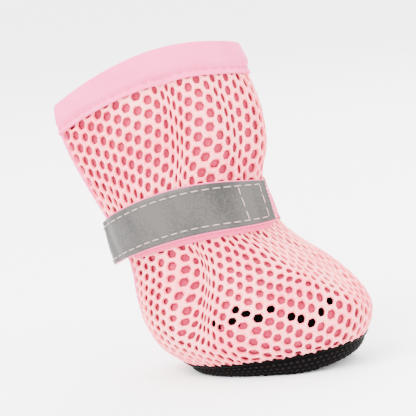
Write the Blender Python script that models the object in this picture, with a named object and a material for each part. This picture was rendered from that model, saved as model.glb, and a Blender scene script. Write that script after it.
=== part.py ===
# Dog boot: a small pull-on boot in net fabric on a coated fabric sole, with a folded
# gusset at the heel, a bound collar and a wrap strap faced with reflective tape.
# Metres, +Z up, +X to the toe. The origin is on the ground, in the middle of the
# flat of the sole.

import math
from collections import namedtuple

import bpy
import numpy as np

MM = 0.001

# Sole
SOLE_LENGTH = 51.4 * MM
SOLE_BACK = 20.8 * MM  # from the origin to the heel end of the sole's edge
SOLE_WIDTH = 39.0 * MM
SOLE_THICKNESS = 1.5 * MM
SOLE_EDGE_HEIGHT = 4.9 * MM
SOLE_EDGE_ROUND = 3.2 * MM
TREAD_BACK = 16.0 * MM  # the flat that stands on the ground runs from here
TREAD_FRONT = 14.0 * MM  # to here
TOE_SPRING = 3.4 * MM
HEEL_SPRING = 0.6 * MM
INSOLE_THICKNESS = 1.2 * MM
INSOLE_EDGE_HEIGHT = 13.5 * MM  # how far its turned-up edge rises above the seam
INSOLE_EDGE_ROUND = 2.4 * MM

# Upper
FOOT_LENGTH = 66.8 * MM
BALL_WIDTH = 47.4 * MM
INSTEP_HEIGHT = 37.0 * MM
SHAFT_HEIGHT = 47.8 * MM
COLLAR_LENGTH = 57.6 * MM
COLLAR_WIDTH = 25.6 * MM
WALL = 1.3 * MM

# Gusset
GUSSET_FOOT_WIDTH = 6.5 * MM
GUSSET_TOP_WIDTH = 16.0 * MM
GUSSET_DEPTH = 8.0 * MM
GUSSET_THICKNESS = 0.9 * MM

# Trim
BINDING_HEIGHT = 8.4 * MM
BINDING_THICKNESS = 0.9 * MM
SEAM_BINDING_HEIGHT = 6.5 * MM
SEAM_BINDING_THICKNESS = 0.8 * MM
LOOP_TAPE_WIDTH = 12.8 * MM
LOOP_TAPE_THICKNESS = 0.8 * MM
LOOP_TAPE_DROP = 0.7 * MM  # how far its middle lies below the strap's
STRAP_RISE = 0.7 * MM  # from the instep's height up to its lower edge
STRAP_WIDTH = 11.8 * MM
STRAP_THICKNESS = 0.9 * MM
STRAP_BULGE_SHARE = 0.4  # how much of the section's round end the strap keeps at the heel
STRAP_STAND_OFF = 4.2 * MM  # how far the strap's lower edge stands off at the heel
STRAP_END_LIFT = 1.6 * MM  # how far its upper edge stands off near the front
TAPE_WIDTH = 11.2 * MM
TAPE_THICKNESS = 0.4 * MM

# Spaces between pieces that touch
GAP = 0.3 * MM
CORNER_GAP = 0.5 * MM  # for the binding, which bends sharply at the gusset's edges

# Facets
AROUND = 50
GUSSET_FACETS = 8
UP_STEP = 4.1 * MM

# Places round the boot, in degrees: 0 is the front, 90 the left side, 180 the heel
STRAP_START = 52.0
STRAP_END = 342.0
TAPE_START = 56.0
LOOP_TAPE_HEEL_GAP = 14.0

COLOURS = {
    "net": ((0.95, 0.62, 0.62), 0.75),
    "pink_tape": ((0.93, 0.52, 0.62), 0.7),
    "gusset_cloth": ((0.92, 0.47, 0.58), 0.75),
    "reflective": ((0.33, 0.33, 0.31), 0.35),
    "sole_cloth": ((0.014, 0.013, 0.014), 0.6),
    "insole_foam": ((0.016, 0.015, 0.016), 0.85),
}

# Sections of the foot from the sole's edge up. Heights are shares of INSTEP_HEIGHT,
# back and front reach are shares of FOOT_LENGTH, half width, side shift and bow are
# shares of BALL_WIDTH. Tilt raises the front and roll lowers the left side, both in
# degrees. Bow raises both sides, toe taper narrows the front and square fills the corners.
Section = namedtuple("Section", "height back front half shift tilt roll bow taper square")
FOOT_SECTIONS = (
    Section(0.243, -0.410, 0.488, 0.478, 0.000, 4.0, 0.0, 0.000, 0.00, 2.2),
    Section(0.405, -0.474, 0.492, 0.500, 0.000, 2.5, 0.0, 0.000, 0.00, 2.2),
    Section(0.589, -0.494, 0.432, 0.475, 0.000, 3.0, 0.0, 0.000, 0.10, 2.2),
    Section(0.751, -0.499, 0.335, 0.415, 0.000, 5.0, 0.0, 0.015, 0.33, 2.1),
    Section(0.873, -0.500, 0.230, 0.380, 0.004, 7.0, 0.0, 0.038, 0.36, 2.0),
    Section(1.000, -0.509, 0.134, 0.365, 0.006, 9.0, 0.5, 0.060, 0.15, 2.0),
)

# Sections of the shaft above the instep. Heights are shares of SHAFT_HEIGHT, back and
# front reach are shares of COLLAR_LENGTH, the others are shares of COLLAR_WIDTH.
SHAFT_SECTIONS = (
    Section(0.112, -0.634, 0.115, 0.660, 0.020, 10.5, 1.0, 0.150, 0.00, 2.0),
    Section(0.247, -0.682, 0.082, 0.645, 0.035, 11.0, 2.5, 0.170, 0.00, 2.0),
    Section(0.464, -0.773, 0.120, 0.605, 0.066, 11.0, 4.5, 0.172, 0.00, 2.0),
    Section(0.680, -0.850, 0.103, 0.560, 0.096, 13.5, 6.5, 0.178, 0.00, 2.0),
    Section(0.846, -0.894, 0.050, 0.525, 0.117, 15.5, 7.5, 0.193, 0.00, 2.0),
    Section(1.000, -0.908, -0.006, 0.500, 0.138, 17.5, 8.0, 0.215, 0.00, 2.0),
)

# Soft creases of the slack cloth. Turn is in degrees round the boot, rise is a share of
# the whole height, reach is the half width of the crease and lift its height, both
# shares of BALL_WIDTH. A negative lift is a trough.
Crease = namedtuple("Crease", "turn_a rise_a turn_b rise_b reach lift")
CREASES = (
    Crease(283.0, 0.88, 276.0, 0.60, 0.070, -0.042),
    Crease(320.0, 0.84, 327.0, 0.60, 0.070, -0.026),
    Crease(300.0, 0.82, 301.0, 0.58, 0.080, 0.022),
    Crease(92.0, 0.86, 97.0, 0.58, 0.080, -0.034),
    Crease(48.0, 0.80, 40.0, 0.60, 0.080, -0.026),
    Crease(270.0, 0.41, 250.0, 0.17, 0.070, -0.046),
    Crease(247.0, 0.40, 238.0, 0.16, 0.090, 0.034),
    Crease(312.0, 0.40, 312.0, 0.32, 0.070, 0.030),
    Crease(312.0, 0.32, 340.0, 0.21, 0.070, 0.030),
    Crease(338.0, 0.38, 352.0, 0.29, 0.080, -0.028),
    Crease(122.0, 0.40, 114.0, 0.16, 0.090, 0.026),
    Crease(98.0, 0.40, 94.0, 0.20, 0.080, -0.034),
    Crease(44.0, 0.42, 30.0, 0.25, 0.090, -0.022),
)


def clear_scene():
    for thing in list(bpy.data.objects):
        bpy.data.objects.remove(thing, do_unlink=True)


def smooth_step(value):
    value = np.clip(value, 0.0, 1.0)
    return value * value * (3.0 - 2.0 * value)


# The form of the boot

def section_rows():
    """Return every section in metres and degrees, from the sole's edge to the collar."""
    seam_front = SOLE_LENGTH - SOLE_BACK
    rows = [(SOLE_EDGE_HEIGHT, -SOLE_BACK, seam_front, SOLE_WIDTH / 2, 0.0,
             5.0, 0.0, -0.012 * SOLE_WIDTH, 0.0, 2.3)]
    for row in FOOT_SECTIONS:
        rows.append((row.height * INSTEP_HEIGHT, row.back * FOOT_LENGTH,
                     row.front * FOOT_LENGTH, row.half * BALL_WIDTH,
                     row.shift * BALL_WIDTH, row.tilt, row.roll,
                     row.bow * BALL_WIDTH, row.taper, row.square))
    for row in SHAFT_SECTIONS:
        rows.append((INSTEP_HEIGHT + row.height * SHAFT_HEIGHT,
                     row.back * COLLAR_LENGTH, row.front * COLLAR_LENGTH,
                     row.half * COLLAR_WIDTH, row.shift * COLLAR_WIDTH,
                     row.tilt, row.roll, row.bow * COLLAR_WIDTH, row.taper,
                     row.square))
    return np.array(rows)


ROWS = section_rows()
HEIGHTS = ROWS[:, 0]
BOTTOM = float(HEIGHTS[0])
TOP = float(HEIGHTS[-1])
SLOPES = np.gradient(ROWS, HEIGHTS, axis=0)


def section_at(height):
    """Blend the sections smoothly at any height, with a cubic between each two."""
    height = np.asarray(height, dtype=float)
    low = np.clip(np.searchsorted(HEIGHTS, height, side="right") - 1, 0, len(HEIGHTS) - 2)
    span = (HEIGHTS[low + 1] - HEIGHTS[low])[..., None]
    part = ((height - HEIGHTS[low]) / (HEIGHTS[low + 1] - HEIGHTS[low]))[..., None]
    blended = ((2 * part ** 3 - 3 * part ** 2 + 1) * ROWS[low]
               + (part ** 3 - 2 * part ** 2 + part) * span * SLOPES[low]
               + (-2 * part ** 3 + 3 * part ** 2) * ROWS[low + 1]
               + (part ** 3 - part ** 2) * span * SLOPES[low + 1])
    return np.moveaxis(blended, -1, 0)


def gusset_half_turn(height):
    """Return half the angle, in degrees, that the gusset fills at a height."""
    share = np.clip((height - BOTTOM) / (INSTEP_HEIGHT - BOTTOM), 0.0, 1.0)
    half_width = (GUSSET_FOOT_WIDTH + (GUSSET_TOP_WIDTH - GUSSET_FOOT_WIDTH) * share) / 2
    row = section_at(height)
    half, square = row[3], row[9]
    return np.degrees(np.arcsin(np.clip(half_width / half, 0.0, 0.9) ** (square / 2)))


def strap_middle():
    return INSTEP_HEIGHT + STRAP_RISE + STRAP_WIDTH / 2


def loop_tape_edges():
    middle = strap_middle() - LOOP_TAPE_DROP
    return middle - LOOP_TAPE_WIDTH / 2, middle + LOOP_TAPE_WIDTH / 2


def slit_gap(height):
    """Return the angle, in degrees, that the gusset and the net each keep from the seam."""
    return np.degrees(1.6 * GAP / section_at(height)[3])


def crease_lift(turn, height):
    """Add up the soft creases: each is a smooth ridge or trough along a short line."""
    around = BALL_WIDTH / 2
    lift = np.zeros(np.broadcast(turn, height).shape)
    for crease in CREASES:
        start = np.array([math.radians(crease.turn_a) * around, crease.rise_a * TOP])
        end = np.array([math.radians(crease.turn_b) * around, crease.rise_b * TOP])
        along = end - start
        place_x = np.radians(turn) * around - start[0]
        place_z = height - start[1]
        wrap = 2 * math.pi * around
        middle = along[0] / 2
        place_x = (place_x - middle + wrap / 2) % wrap - wrap / 2 + middle
        share = (place_x * along[0] + place_z * along[1]) / (along @ along)
        held = np.clip(share, 0.0, 1.0)
        away = np.hypot(place_x - held * along[0], place_z - held * along[1])
        lift += crease.lift * BALL_WIDTH * np.exp(-(away / (crease.reach * BALL_WIDTH)) ** 2)
    ends = smooth_step((height - BOTTOM) / (0.12 * TOP)) * smooth_step((TOP - height) / (0.1 * TOP))
    from_strap = np.abs(height - strap_middle()) - 0.6 * LOOP_TAPE_WIDTH
    return lift * ends * smooth_step(from_strap / (0.05 * TOP))


def body(turn, height, pleated=True):
    """Return points of the boot's outer surface at a turn in degrees and a height."""
    turn, height = np.broadcast_arrays(np.asarray(turn, float), np.asarray(height, float))
    _, back, front, half, shift, tilt, roll, bow, taper, square = section_at(height)
    tilt, roll = np.radians(tilt), np.radians(roll)
    cosine, sine = np.cos(np.radians(turn)), np.sin(np.radians(turn))
    reach = (front - back) / 2 / np.cos(tilt)
    lift = crease_lift(turn, height)
    length = (reach + lift) * np.sign(cosine) * np.abs(cosine) ** (2 / square)
    width = (half + lift) * np.sign(sine) * np.abs(sine) ** (2 / square)
    width = width * (1 - taper * np.clip(cosine, 0.0, 1.0) ** 1.5)
    # The heel half is drawn out, so that the edges of the slit reach the section's back.
    half_gusset = gusset_half_turn(height)
    off_heel = np.abs((turn % 360.0) - 180.0) / half_gusset
    drawn_out = np.abs(cosine / np.cos(np.radians(half_gusset))) ** (2 / square)
    across_slit = 1 + STRAP_BULGE_SHARE * (drawn_out - 1)
    if pleated:
        near_collar = smooth_step((height - TOP + 3 * BINDING_HEIGHT) / (2 * BINDING_HEIGHT))
        depth = GUSSET_DEPTH * smooth_step((height - 0.1 * TOP) / (0.42 * TOP))
        fold = np.cos(np.clip(off_heel, 0.0, 1.0) * math.pi / 2) ** 2
        across_slit = 1 - depth / reach * (1 - 0.55 * near_collar) * fold
    heel_length = -(reach + lift) * np.where(off_heel < 1.0, across_slit, drawn_out)
    length = np.where(cosine < 0.0, heel_length, length)
    x = (front + back) / 2 + length * np.cos(tilt)
    y = shift + width * np.cos(roll)
    z = height + length * np.sin(tilt) - width * np.sin(roll) + bow * sine ** 2
    return np.stack([x, y, z], axis=-1)


def offset_body(turn, height, out, pleated=True):
    """Move the surface outwards along its own normal by the distance out."""
    turn, height, out = np.broadcast_arrays(*(np.asarray(v, float) for v in (turn, height, out)))
    small_turn, small_rise = 4.0, 0.4 * MM
    held = np.clip(height, BOTTOM, TOP)
    across = (body(turn + small_turn, held, pleated) - body(turn - small_turn, held, pleated))
    rise = body(turn, np.minimum(held + small_rise, TOP), pleated)
    rise = rise - body(turn, np.maximum(held - small_rise, BOTTOM), pleated)
    normal = np.cross(across, rise)
    normal /= np.linalg.norm(normal, axis=-1, keepdims=True)
    return body(turn, held, pleated) + normal * out[..., None]


# Meshes from grids of points

def make_object(name, verts, faces, colour, collection):
    mesh = bpy.data.meshes.new(name)
    mesh.from_pydata([tuple(v) for v in verts], [], faces)
    mesh.update()
    mesh.shade_smooth()
    mesh.set_sharp_from_angle(angle=math.radians(40))
    rgb, roughness = COLOURS[colour]
    material = bpy.data.materials.new(name)
    material.use_nodes = True
    shader = material.node_tree.nodes["Principled BSDF"]
    shader.inputs["Base Color"].default_value = (*rgb, 1.0)
    shader.inputs["Roughness"].default_value = roughness
    shader.inputs["Metallic"].default_value = 0.0
    mesh.materials.append(material)
    thing = bpy.data.objects.new(name, mesh)
    collection.objects.link(thing)
    return thing


def band_mesh(grid, closed_around):
    """Join a grid of points, indexed by place round the section and place round the boot.

    The section is a closed loop. Round the boot the grid either closes on itself or
    ends in two flat caps.
    """
    loop, count = grid.shape[:2]
    faces = []
    for i in range(loop):
        above = (i + 1) % loop
        for j in range(count if closed_around else count - 1):
            beside = (j + 1) % count
            faces.append((i * count + j, i * count + beside,
                          above * count + beside, above * count + j))
    if not closed_around:
        half = loop // 2
        for j, flip in ((0, False), (count - 1, True)):
            for i in range(half - 1):
                ring = (i, i + 1, loop - 2 - i, loop - 1 - i)
                face = [k * count + j for k in ring]
                faces.append(tuple(reversed(face)) if flip else tuple(face))
    return grid.reshape(-1, 3), faces


def wall_band(name, turns, heights, outs, colour, collection, closed, pleated=True):
    """Make a wall between two offsets of the body: up its outside and down its inside."""
    heights = np.asarray(heights, float)
    outer = offset_body(turns, heights, outs[0], pleated)
    inner = offset_body(turns, heights, outs[1], pleated)[::-1]
    verts, faces = band_mesh(np.concatenate([outer, inner]), closed)
    return make_object(name, verts, faces, colour, collection)


def rises(low, high):
    """Return the heights that all walls share between low and high, as a column.

    The walls share their heights so that the facets of neighbours run side by side.
    """
    tape_low, tape_high = loop_tape_edges()
    strap_low = strap_middle() - STRAP_WIDTH / 2
    breaks = sorted((BOTTOM + GAP, BOTTOM + SEAM_BINDING_HEIGHT, tape_low, strap_low,
                     tape_high, TOP - BINDING_HEIGHT, TOP - BINDING_THICKNESS - GAP))
    shared = [breaks[0]]
    for start, end in zip(breaks[:-1], breaks[1:]):
        count = 2 if end == breaks[-1] else max(1, int(round((end - start) / UP_STEP)))
        shared += list(np.linspace(start, end, count + 1)[1:])
    shared = np.array(shared)
    slack = 0.01 * MM
    return shared[(shared > low - slack) & (shared < high + slack)][:, None]


def ring_turns():
    return (np.arange(AROUND) + 0.5)[None, :] * 360.0 / AROUND


def pleated_ring_turns(heights):
    """Turns round the boot with one on each edge of the gusset, where the cloth bends."""
    half_gusset = gusset_half_turn(heights)
    net = np.linspace(-1.0, 1.0, AROUND - GUSSET_FACETS + 1)[None, :] * (180.0 - half_gusset)
    pleat = 180.0 + np.linspace(-1.0, 1.0, GUSSET_FACETS + 1)[None, 1:-1] * half_gusset
    return np.concatenate([net, pleat], axis=1)


# Pieces

def make_upper(collection):
    heights = rises(BOTTOM + GAP, TOP - BINDING_THICKNESS - GAP)
    spread = np.linspace(-1.0, 1.0, AROUND)[None, :]
    half_turn = 180.0 - gusset_half_turn(heights) - slit_gap(heights)
    return wall_band("upper", spread * half_turn, heights, (0.0, -WALL), "net",
                     collection, closed=False)


def make_gusset(collection):
    heights = rises(BOTTOM + GAP, TOP - BINDING_THICKNESS - GAP)
    spread = np.linspace(-1.0, 1.0, GUSSET_FACETS + 1)[None, :]
    half_turn = gusset_half_turn(heights) - slit_gap(heights)
    outs = (-(WALL - GUSSET_THICKNESS) / 2, -(WALL + GUSSET_THICKNESS) / 2)
    return wall_band("back_gusset", 180.0 + spread * half_turn, heights, outs,
                     "gusset_cloth", collection, closed=False)


def make_collar_binding(collection):
    """A tape folded over the collar's edge: an outer leg, the fold and an inner leg."""
    near = CORNER_GAP
    far = CORNER_GAP + BINDING_THICKNESS
    low, middle, high = rises(TOP - BINDING_HEIGHT, TOP)[:, 0]
    fold = TOP - 0.3 * BINDING_THICKNESS
    profile = (
        (low, near), (low, far), (middle, far), (high, far), (fold, 0.4 * far),
        (fold, -WALL - 0.4 * far), (high, -WALL - far), (middle, -WALL - far),
        (low, -WALL - far), (low, -WALL - near), (middle, -WALL - near),
        (high + GAP, -WALL - near), (high + GAP, near), (middle, near),
    )
    table = np.array(profile)
    grid = offset_body(pleated_ring_turns(table[:, :1]), table[:, :1], table[:, 1:])
    verts, faces = band_mesh(grid, True)
    return make_object("collar_binding", verts, faces, "pink_tape", collection)


def ground_height(x):
    """The sole's underside: flat in the middle, sprung up at the toe and the heel."""
    toe_end = SOLE_LENGTH - SOLE_BACK
    toe = np.clip((x - TREAD_FRONT) / (toe_end - TREAD_FRONT), 0.0, 1.0)
    heel = np.clip((-x - TREAD_BACK) / (SOLE_BACK - TREAD_BACK), 0.0, 1.0)
    return TOE_SPRING * toe ** 1.5 + HEEL_SPRING * heel ** 1.5


def dish_ring(turns, inset, raise_by, edge_share):
    """One ring of the sole: the boot's lowest outline drawn in by inset and raised.

    edge_share runs from 0, on the sole's flat, to 1, at the seam with the upper.
    """
    seam = body(turns, BOTTOM)
    centre = np.array([(SOLE_LENGTH - 2 * SOLE_BACK) / 2, 0.0])
    flat = seam[..., :2] - centre
    size = np.linalg.norm(flat, axis=-1, keepdims=True)
    flat = centre + flat * (1 - inset / size)
    under = ground_height(flat[..., 0]) + raise_by
    z = under + (seam[..., 2] - under) * edge_share
    return np.concatenate([flat, z[..., None]], axis=-1)


def make_outsole(collection):
    """A dish of coated cloth: a flat tread with its edge turned up to the seam."""
    turns = ring_turns()[0]
    shares = (0.25, 0.6, 0.85)
    rings = []
    for share in shares:
        inset = SOLE_EDGE_ROUND + (SOLE_WIDTH / 2 - SOLE_EDGE_ROUND) * (1 - share)
        rings.append(dish_ring(turns, inset, 0.0, 0.0))
    for angle in (0.0, 30.0, 60.0, 90.0):
        bend = math.radians(angle)
        inset = SOLE_EDGE_ROUND * (1 - math.sin(bend))
        rings.append(dish_ring(turns, inset, 0.0, 1 - math.cos(bend)))
    inner_round = SOLE_EDGE_ROUND - 0.4 * SOLE_THICKNESS
    for angle in (90.0, 60.0, 30.0, 0.0):
        bend = math.radians(angle)
        inset = SOLE_THICKNESS + inner_round * (1 - math.sin(bend))
        rings.append(dish_ring(turns, inset, SOLE_THICKNESS, 1 - math.cos(bend)))
    for share in reversed(shares):
        foot = SOLE_THICKNESS + inner_round
        inset = foot + (SOLE_WIDTH / 2 - foot) * (1 - share)
        rings.append(dish_ring(turns, inset, SOLE_THICKNESS, 0.0))
    verts, faces = cup_mesh(np.array(rings))
    return make_object("outsole", verts, faces, "sole_cloth", collection)


def cup_mesh(grid):
    """Close a run of rings with one fan at its start and one at its end."""
    count, around = grid.shape[:2]
    verts = list(grid.reshape(-1, 3))
    faces = []
    for i in range(count - 1):
        for j in range(around):
            beside = (j + 1) % around
            faces.append((i * around + j, i * around + beside,
                          (i + 1) * around + beside, (i + 1) * around + j))
    for ring, flip in ((0, True), (count - 1, False)):
        hub = len(verts)
        verts.append(grid[ring].mean(axis=0))
        for j in range(around):
            pair = (ring * around + j, ring * around + (j + 1) % around)
            faces.append((pair[1], pair[0], hub) if flip else (pair[0], pair[1], hub))
    return np.array(verts), faces


def make_insole(collection):
    """A foam liner lying in the dish of the sole, its edge turned up inside the tape."""
    turns = ring_turns()[0]
    clear = SOLE_THICKNESS + GAP
    in_tape = WALL + SEAM_BINDING_THICKNESS + 2 * GAP
    top = BOTTOM + INSOLE_EDGE_HEIGHT
    middle = SOLE_WIDTH / 4
    foot = in_tape + INSOLE_EDGE_ROUND
    heights = [*rises(BOTTOM + GAP, top - UP_STEP / 2)[:, 0], top]
    rings = [
        dish_ring(turns, middle, clear, 0.0),
        dish_ring(turns, foot, clear, 0.0),
        dish_ring(turns, in_tape + 0.3 * INSOLE_EDGE_ROUND, clear, 0.3),
        *[offset_body(turns, height, -in_tape) for height in heights],
        *[offset_body(turns, height, -in_tape - INSOLE_THICKNESS) for height in heights[::-1]],
        dish_ring(turns, foot + INSOLE_THICKNESS, clear + INSOLE_THICKNESS, 0.05),
        dish_ring(turns, middle + INSOLE_THICKNESS, clear + INSOLE_THICKNESS, 0.0),
    ]
    verts, faces = cup_mesh(np.array(rings))
    return make_object("insole", verts, faces, "insole_foam", collection)


def make_seam_binding(collection):
    """The tape that covers the seam of sole and upper inside the boot."""
    heights = rises(BOTTOM + GAP, BOTTOM + SEAM_BINDING_HEIGHT)
    near = -WALL - GAP
    outs = (near, near - SEAM_BINDING_THICKNESS)
    return wall_band("seam_binding", ring_turns(), heights, outs, "pink_tape",
                     collection, closed=True)


def make_loop_tape(collection):
    """The tape sewn round the ankle, which the strap fastens on."""
    heights = rises(*loop_tape_edges())
    half_turn = 180.0 - gusset_half_turn(heights) - LOOP_TAPE_HEEL_GAP
    spread = np.linspace(-1.0, 1.0, AROUND - 10)[None, :]
    outs = (GAP + LOOP_TAPE_THICKNESS, GAP)
    return wall_band("ankle_loop_tape", spread * half_turn, heights, outs,
                     "pink_tape", collection, closed=False)


def strap_band(name, start, end, width, under, thickness, colour, collection):
    """A band round the ankle that bridges the gusset and stands off at the heel."""
    low, high = strap_middle() - width / 2, strap_middle() + width / 2
    shared = rises(low + UP_STEP / 2, high - UP_STEP / 2)[:, 0]
    heights = np.array([low, *shared, high])[:, None]
    turns = np.linspace(start, end, int(AROUND * (end - start) / 360))[None, :]
    heel = np.clip(-np.cos(np.radians(turns)), 0.0, 1.0) ** 4
    lower = 0.5 - (heights - strap_middle()) / STRAP_WIDTH
    front = np.clip(np.cos(np.radians(turns)), 0.0, 1.0) ** 2
    stand_off = STRAP_STAND_OFF * heel * lower + STRAP_END_LIFT * front * (1 - lower)
    off_heel = np.abs(turns % 360.0 - 180.0) - gusset_half_turn(strap_middle())
    past_tape = smooth_step(1.2 - off_heel / LOOP_TAPE_HEEL_GAP)
    under = under - (GAP + LOOP_TAPE_THICKNESS) * past_tape
    grid = []
    for out in (under + thickness, under):
        rows = offset_body(turns, heights, out + stand_off, pleated=False)
        grid.append(rows if not grid else rows[::-1])
    verts, faces = band_mesh(np.concatenate(grid), False)
    return make_object(name, verts, faces, colour, collection)


def make_strap(collection):
    under = 2 * GAP + LOOP_TAPE_THICKNESS
    return strap_band("strap", STRAP_START, STRAP_END, STRAP_WIDTH, under,
                      STRAP_THICKNESS, "pink_tape", collection)


def make_reflective_tape(collection):
    under = 3 * GAP + LOOP_TAPE_THICKNESS + STRAP_THICKNESS
    return strap_band("reflective_tape", TAPE_START, STRAP_END, TAPE_WIDTH, under,
                      TAPE_THICKNESS, "reflective", collection)


def main():
    clear_scene()
    collection = bpy.data.collections.new("dog_boot")
    bpy.context.scene.collection.children.link(collection)
    make_outsole(collection)
    make_insole(collection)
    make_seam_binding(collection)
    make_upper(collection)
    make_gusset(collection)
    make_collar_binding(collection)
    make_loop_tape(collection)
    make_strap(collection)
    make_reflective_tape(collection)


main()
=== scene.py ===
import math

import bmesh
import bpy
import numpy as np
from mathutils import Matrix, Vector


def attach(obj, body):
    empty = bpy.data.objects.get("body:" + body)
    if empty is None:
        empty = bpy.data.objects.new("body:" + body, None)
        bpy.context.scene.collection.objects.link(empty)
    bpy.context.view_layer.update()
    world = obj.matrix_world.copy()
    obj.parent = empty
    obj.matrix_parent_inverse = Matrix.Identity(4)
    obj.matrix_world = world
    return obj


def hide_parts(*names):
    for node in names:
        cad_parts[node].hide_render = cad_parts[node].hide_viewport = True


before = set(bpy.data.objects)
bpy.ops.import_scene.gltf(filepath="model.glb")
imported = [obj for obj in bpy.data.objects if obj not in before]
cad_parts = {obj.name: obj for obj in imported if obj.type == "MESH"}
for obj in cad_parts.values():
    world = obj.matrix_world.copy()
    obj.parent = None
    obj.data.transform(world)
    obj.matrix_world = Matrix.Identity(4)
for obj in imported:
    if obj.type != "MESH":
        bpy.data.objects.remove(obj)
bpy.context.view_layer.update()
mm = 0.001

# The boot's form, the same as its solids have: metres, X to the toe, Z up.
boot = {
    "soleLength": 51.4 * mm, "soleBack": 20.8 * mm, "soleWidth": 39.0 * mm,
    "soleThickness": 1.5 * mm, "edgeHeight": 4.9 * mm, "edgeRound": 3.2 * mm,
    "treadBack": 16.0 * mm, "treadFront": 14.0 * mm, "toeSpring": 3.4 * mm, "heelSpring": 0.6 * mm,
    "footLength": 66.8 * mm, "ballWidth": 47.4 * mm, "instep": 37.0 * mm, "shaft": 47.8 * mm,
    "collarLength": 57.6 * mm, "collarWidth": 25.6 * mm, "wall": 1.3 * mm,
    "gussetFoot": 6.5 * mm, "gussetTop": 16.0 * mm, "gussetDepth": 8.0 * mm,
    "bindingHeight": 8.4 * mm, "strapWidth": 11.8 * mm, "tapeWidth": 11.2 * mm,
    "loopWidth": 12.8 * mm,
    "loopDrop": 0.7 * mm,                # how far its middle lies below the strap's
    "strapRise": 0.7 * mm,               # from the instep's height to the strap's lower edge
    "strapBulge": 0.4,                   # how much of the round end it keeps at the heel
    "strapStandOff": 4.2 * mm,           # of its lower edge at the heel
    "strapEndLift": 1.6 * mm,            # of its upper edge near the front
    "loopHeelGap": 14.0,                 # degrees without loop tape beside the gusset
    "gap": 0.3 * mm,
    "foldFrom": 0.1, "foldOver": 0.42,   # where the gusset's fold deepens, as shares of the height
    "foldOpens": 0.55,                   # and the share of its depth that it loses at the collar
}

# Sections of foot and shaft. Columns: height, back, front, half width, side shift, tilt, roll,
# bow, toe taper, squareness. Lengths are shares, of instep, foot length and ball width in the foot
# and of shaft height, collar length and collar width in the shaft.
footSections = np.array([
    (0.243, -0.410, 0.488, 0.478, 0.000, 4.0, 0.0, 0.000, 0.00, 2.2),
    (0.405, -0.474, 0.492, 0.500, 0.000, 2.5, 0.0, 0.000, 0.00, 2.2),
    (0.589, -0.494, 0.432, 0.475, 0.000, 3.0, 0.0, 0.000, 0.10, 2.2),
    (0.751, -0.499, 0.335, 0.415, 0.000, 5.0, 0.0, 0.015, 0.33, 2.1),
    (0.873, -0.500, 0.230, 0.380, 0.004, 7.0, 0.0, 0.038, 0.36, 2.0),
    (1.000, -0.509, 0.134, 0.365, 0.006, 9.0, 0.5, 0.060, 0.15, 2.0)])
shaftSections = np.array([
    (0.112, -0.634, 0.115, 0.660, 0.020, 10.5, 1.0, 0.150, 0.00, 2.0),
    (0.247, -0.682, 0.082, 0.645, 0.035, 11.0, 2.5, 0.170, 0.00, 2.0),
    (0.464, -0.773, 0.120, 0.605, 0.066, 11.0, 4.5, 0.172, 0.00, 2.0),
    (0.680, -0.850, 0.103, 0.560, 0.096, 13.5, 6.5, 0.178, 0.00, 2.0),
    (0.846, -0.894, 0.050, 0.525, 0.117, 15.5, 7.5, 0.193, 0.00, 2.0),
    (1.000, -0.908, -0.006, 0.500, 0.138, 17.5, 8.0, 0.215, 0.00, 2.0)])

# Creases of the slack net. Columns: turn and rise of the start, turn and rise of the end, half
# width, lift, pull. Turns are degrees round the boot, rises shares of its height, widths and lifts
# shares of the ball width. Pull is the share by which the net is drawn together there.
creases = np.array([
    (283.0, 0.88, 276.0, 0.60, 0.065, -0.042, 0.50),
    (320.0, 0.84, 327.0, 0.60, 0.070, -0.026, 0.30),
    (300.0, 0.82, 301.0, 0.58, 0.080, 0.022, 0.00),
    (92.0, 0.86, 97.0, 0.58, 0.080, -0.034, 0.45),
    (48.0, 0.80, 40.0, 0.60, 0.080, -0.026, 0.30),
    (270.0, 0.41, 250.0, 0.17, 0.070, -0.046, 0.68),
    (247.0, 0.40, 238.0, 0.16, 0.090, 0.034, 0.00),
    (312.0, 0.40, 312.0, 0.32, 0.070, 0.030, 0.35),
    (312.0, 0.32, 340.0, 0.21, 0.070, 0.030, 0.45),
    (338.0, 0.38, 352.0, 0.29, 0.080, -0.028, 0.00),
    (122.0, 0.40, 114.0, 0.16, 0.090, 0.026, 0.00),
    (98.0, 0.40, 94.0, 0.20, 0.080, -0.034, 0.50),
    (44.0, 0.42, 30.0, 0.25, 0.090, -0.022, 0.30)])

# How the creases end: they fade over these shares of the boot's height from sole, collar and
# strap. Their pull reaches so many half widths, and fades so far past their ends.
creaseEnd = {"sole": 0.12, "collar": 0.1, "strap": 0.05, "strapHolds": 0.6, "pullReach": 2.0,
             "pullPast": 0.5, "pullFade": 0.7}


# Rises from 0 to 1 with level ends: three squares less two cubes.
def smoothStep(value):
    value = np.clip(value, 0.0, 1.0)
    return value * value * (3.0 - 2.0 * value)


# Puts both section tables into metres, from the sole's edge up to the collar.
def sectionRows():
    seam = (boot["edgeHeight"], -boot["soleBack"], boot["soleLength"] - boot["soleBack"],
            boot["soleWidth"] / 2, 0.0, 5.0, 0.0, -0.012 * boot["soleWidth"], 0.0, 2.3)
    foot = footSections.copy()
    foot[:, 0] *= boot["instep"]
    foot[:, 1:3] *= boot["footLength"]
    foot[:, [3, 4, 7]] *= boot["ballWidth"]
    shaft = shaftSections.copy()
    shaft[:, 0] = boot["instep"] + shaft[:, 0] * boot["shaft"]
    shaft[:, 1:3] *= boot["collarLength"]
    shaft[:, [3, 4, 7]] *= boot["collarWidth"]
    return np.vstack([seam, foot, shaft])


rows = sectionRows()
heights = rows[:, 0]
bottom, top = heights[0], heights[-1]
slopes = np.gradient(rows, heights, axis=0)
strapMiddle = boot["instep"] + boot["strapRise"] + boot["strapWidth"] / 2
loopLow = strapMiddle - boot["loopDrop"] - boot["loopWidth"] / 2
loopHigh = loopLow + boot["loopWidth"]


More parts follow.
